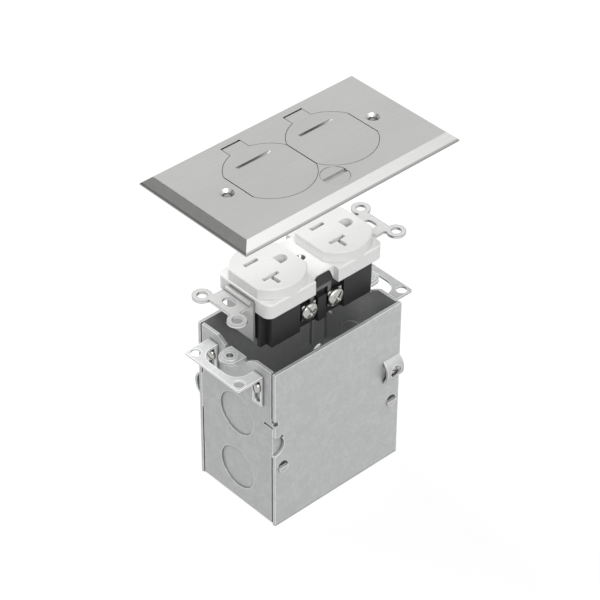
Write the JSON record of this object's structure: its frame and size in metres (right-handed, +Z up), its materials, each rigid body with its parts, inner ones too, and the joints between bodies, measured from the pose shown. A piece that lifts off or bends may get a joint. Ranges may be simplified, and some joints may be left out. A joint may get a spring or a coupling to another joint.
{
  "type": "floor socket box",
  "caption": "Steel floor box with plaster ears, a duplex outlet on its strap lifted out of it, and above it a bevelled metal floor cover with hinged lids and a slotted lock.",
  "frame": {"origin": "centre of the box's underside", "axes": "+X along the box and the cover, towards the picture's upper right; +Y towards the lids' hinges; +Z up, from the box to the cover"},
  "size_m": [0.122, 0.067, 0.1742],
  "materials": {
    "cover_steel": "brushed along the plate",
    "galvanised_steel": "galvanised, smooth",
    "strap_steel": "zinc plated",
    "screw_steel": "zinc plated, turned",
    "contact_brass": "plain stamped",
    "contact_nickel": "nickel plated, satin",
    "screw_brass": "bright turned",
    "ground_green": "green dyed plating",
    "face_plastic": "gloss white",
    "body_plastic": "satin black",
    "gasket_rubber": "matt black foam rubber"
  },
  "bodies": {
    "box": {"box_body": "galvanised_steel", "side_plate_front": "galvanised_steel", "side_plate_back": "galvanised_steel", "side_plate_screws": "screw_steel", "ear_screws_right": "screw_steel", "ear_screws_left": "screw_steel"},
    "right_ear": {"plaster_ear_right": "galvanised_steel"},
    "left_ear": {"plaster_ear_left": "galvanised_steel"},
    "receptacle": {"receptacle_face": "face_plastic", "receptacle_body": "body_plastic", "mounting_strap": "strap_steel", "assembly_rivets": "screw_brass", "neutral_contact_strip": "contact_nickel", "hot_contact_strip": "contact_brass", "ground_contact_strip": "contact_brass", "neutral_terminal_screws": "screw_steel", "hot_terminal_screws": "screw_brass", "neutral_clamp_plates": "screw_steel", "hot_clamp_plates": "screw_brass", "ground_terminal_screw": "ground_green"},
    "cover": {"cover_plate": "cover_steel", "cover_gasket": "gasket_rubber", "right_hinge_pin": "screw_steel", "left_hinge_pin": "screw_steel", "lock_retainer": "galvanised_steel", "lock_spring_washer": "screw_steel"},
    "right_lid": {"right_lid": "cover_steel"},
    "left_lid": {"left_lid": "cover_steel"},
    "lock": {"lock_screw": "cover_steel"}
  },
  "joints": [
    {"name": "right_ear_slide", "type": "slide", "parent": "box", "child": "right_ear", "axis": [0, 0, 1], "range_m": [-0.002, 0.0025]},
    {"name": "left_ear_slide", "type": "slide", "parent": "box", "child": "left_ear", "axis": [0, 0, 1], "range_m": [-0.002, 0.0025]},
    {"name": "receptacle_lift", "type": "slide", "parent": "box", "child": "receptacle", "axis": [0, 0, 1], "range_m": [-0.0283, 0]},
    {"name": "cover_lift", "type": "slide", "parent": "receptacle", "child": "cover", "axis": [0, 0, 1], "range_m": [-0.046, 0]},
    {"name": "right_lid_hinge", "type": "hinge", "parent": "cover", "child": "right_lid", "pos_m": [0.0178, 0.022, 0.172], "axis": [-1, 0, 0], "range_deg": [0, 95]},
    {"name": "left_lid_hinge", "type": "hinge", "parent": "cover", "child": "left_lid", "pos_m": [-0.0178, 0.022, 0.172], "axis": [-1, 0, 0], "range_deg": [0, 95]},
    {"name": "lock_turn", "type": "hinge", "parent": "cover", "child": "lock", "pos_m": [0, -0.0207, 0.173], "axis": [0, 0, 1], "range_deg": [0, 180]}
  ]
}
